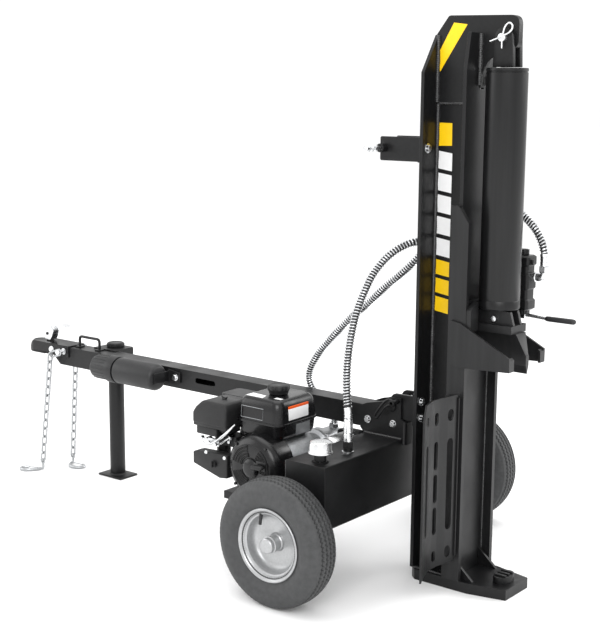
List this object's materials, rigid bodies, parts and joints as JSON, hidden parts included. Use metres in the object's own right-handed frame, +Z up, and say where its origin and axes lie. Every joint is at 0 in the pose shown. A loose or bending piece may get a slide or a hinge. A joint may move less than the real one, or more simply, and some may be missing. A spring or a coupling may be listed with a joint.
{
  "type": "log splitter",
  "caption": "Towable hydraulic log splitter with a tilting upright beam, wedge on a cylinder, engine and pump over an oil tank axle, and a ball coupler tongue.",
  "frame": {"origin": "on the ground, below the middle of the wheel axis", "axes": "+X from the hitch towards the beam, +Y away from the engine's side, +Z up"},
  "size_m": [2.4053, 1.204, 1.792],
  "materials": {
    "powder_coat": "satin near-black powder coat",
    "black_plastic": "fine-grained black plastic",
    "zinc": "bright zinc plate",
    "alloy": "as-cast alloy",
    "chrome": "hard chrome rod",
    "rim": "silver-grey painted steel",
    "tyre": "dark grey rubber",
    "hose": "black hose in a coiled steel guard",
    "orange_plastic": "orange plastic"
  },
  "bodies": {
    "chassis": {"tank": "powder_coat", "spindle_near": "zinc", "spindle_far": "zinc", "pivot_frame": "powder_coat", "tongue": "powder_coat", "coupler": "powder_coat", "coupler_bolt_front": "zinc", "coupler_bolt_rear": "zinc", "tongue_handle": "powder_coat", "stand_bracket": "powder_coat", "canister": "black_plastic", "canister_bracket": "powder_coat", "engine_mount": "powder_coat", "engine_block": "alloy", "blower_housing": "black_plastic", "fuel_tank": "powder_coat", "air_cleaner": "black_plastic", "carburettor": "alloy", "control_box": "black_plastic", "muffler": "alloy", "pump": "alloy", "oil_filter": "alloy", "filter_head": "powder_coat", "return_fitting": "zinc", "pivot_pin": "zinc", "hose_return": "hose", "hose_pressure": "hose"},
    "wheel_near": {"tyre_near": "tyre", "rim_near": "rim"},
    "wheel_far": {"tyre_far": "tyre", "rim_far": "rim"},
    "beam": {"beam": "powder_coat", "top_plate": "powder_coat", "rail_near": "powder_coat", "rail_far": "powder_coat", "foot_plate": "powder_coat", "log_cradle": "powder_coat", "pivot_bracket": "powder_coat", "travel_bracket": "powder_coat", "cylinder": "powder_coat", "cylinder_pin": "zinc", "valve_body": "powder_coat"},
    "wedge": {"wedge": "powder_coat", "piston_rod": "chrome", "wedge_pin": "zinc"},
    "travel_pin": {"travel_pin": "zinc"},
    "valve_lever": {"valve_lever": "zinc"},
    "lock_pin": {"upright_lock_pin": "zinc"},
    "stand": {"stand_leg": "powder_coat"},
    "latch": {"coupler_latch": "zinc"},
    "chain_near": {"chain_near": "zinc"},
    "chain_far": {"chain_far": "zinc"},
    "canister_cap": {"canister_cap": "black_plastic"},
    "fuel_cap": {"fuel_cap": "black_plastic"},
    "filler_cap": {"filler_cap": "alloy"},
    "dipstick": {"dipstick": "orange_plastic"},
    "recoil_grip": {"recoil_grip": "black_plastic"},
    "throttle": {"throttle_lever": "zinc"},
    "choke": {"choke_lever": "black_plastic"},
    "switch": {"engine_switch": "black_plastic"}
  },
  "joints": [
    {"name": "wheel_near_spin", "type": "hinge", "parent": "chassis", "child": "wheel_near", "pos_m": [0, -0.546, 0.203], "axis": [0, 1, 0], "continuous": true},
    {"name": "wheel_far_spin", "type": "hinge", "parent": "chassis", "child": "wheel_far", "pos_m": [0, 0.546, 0.203], "axis": [0, 1, 0], "continuous": true},
    {"name": "beam_tilt", "type": "hinge", "parent": "chassis", "child": "beam", "pos_m": [0.075, 0, 0.545], "axis": [0, -1, 0], "range_deg": [0, 90], "deforming": ["hose_return", "hose_pressure"]},
    {"name": "wedge_stroke", "type": "slide", "parent": "beam", "child": "wedge", "axis": [0, 0, -1], "range_m": [0, 0.61]},
    {"name": "travel_pin_push", "type": "slide", "parent": "beam", "child": "travel_pin", "axis": [0, 1, 0], "range_m": [0, 0.02]},
    {"name": "valve_lever_swing", "type": "hinge", "parent": "beam", "child": "valve_lever", "pos_m": [0.462, 0.112, 0.876], "axis": [0, -1, 0], "range_deg": [-12, 12], "stiffness_Nm_per_rad": 8},
    {"name": "lock_pin_pull", "type": "slide", "parent": "chassis", "child": "lock_pin", "axis": [0, -1, 0], "range_m": [0, 0.03]},
    {"name": "stand_lift", "type": "slide", "parent": "chassis", "child": "stand", "axis": [0, 0, 1], "range_m": [0, 0.3]},
    {"name": "coupler_latch_lift", "type": "hinge", "parent": "chassis", "child": "latch", "pos_m": [-1.662, 0, 0.569], "axis": [0, -1, 0], "range_deg": [0, 60]},
    {"name": "chain_near_swing", "type": "hinge", "parent": "chassis", "child": "chain_near", "pos_m": [-1.532, -0.069, 0.515], "axis": [0, 1, 0], "range_deg": [0, 60]},
    {"name": "chain_far_swing", "type": "hinge", "parent": "chassis", "child": "chain_far", "pos_m": [-1.532, 0.069, 0.515], "axis": [0, 1, 0], "range_deg": [0, 60]},
    {"name": "canister_cap_pull", "type": "slide", "parent": "chassis", "child": "canister_cap", "axis": [-1, 0, 0], "range_m": [0, 0.12]},
    {"name": "fuel_cap_lift", "type": "slide", "parent": "chassis", "child": "fuel_cap", "axis": [0, 0, 1], "range_m": [0, 0.08]},
    {"name": "filler_cap_lift", "type": "slide", "parent": "chassis", "child": "filler_cap", "axis": [0, 0, 1], "range_m": [0, 0.08]},
    {"name": "dipstick_pull", "type": "slide", "parent": "chassis", "child": "dipstick", "axis": [0, 0, 1], "range_m": [0, 0.15]},
    {"name": "recoil_pull", "type": "slide", "parent": "chassis", "child": "recoil_grip", "axis": [0, -1, 0], "range_m": [0, 0.4], "stiffness_N_per_m": 8},
    {"name": "throttle_swing", "type": "hinge", "parent": "chassis", "child": "throttle", "pos_m": [-0.376, -0.337, 0.408], "axis": [0, 1, 0], "range_deg": [-25, 0]},
    {"name": "choke_swing", "type": "hinge", "parent": "chassis", "child": "choke", "pos_m": [-0.436, -0.337, 0.404], "axis": [0, 1, 0], "range_deg": [-30, 15]},
    {"name": "switch_turn", "type": "hinge", "parent": "chassis", "child": "switch", "pos_m": [-0.402, -0.39, 0.338], "axis": [0, 1, 0], "range_deg": [0, 60]}
  ]
}
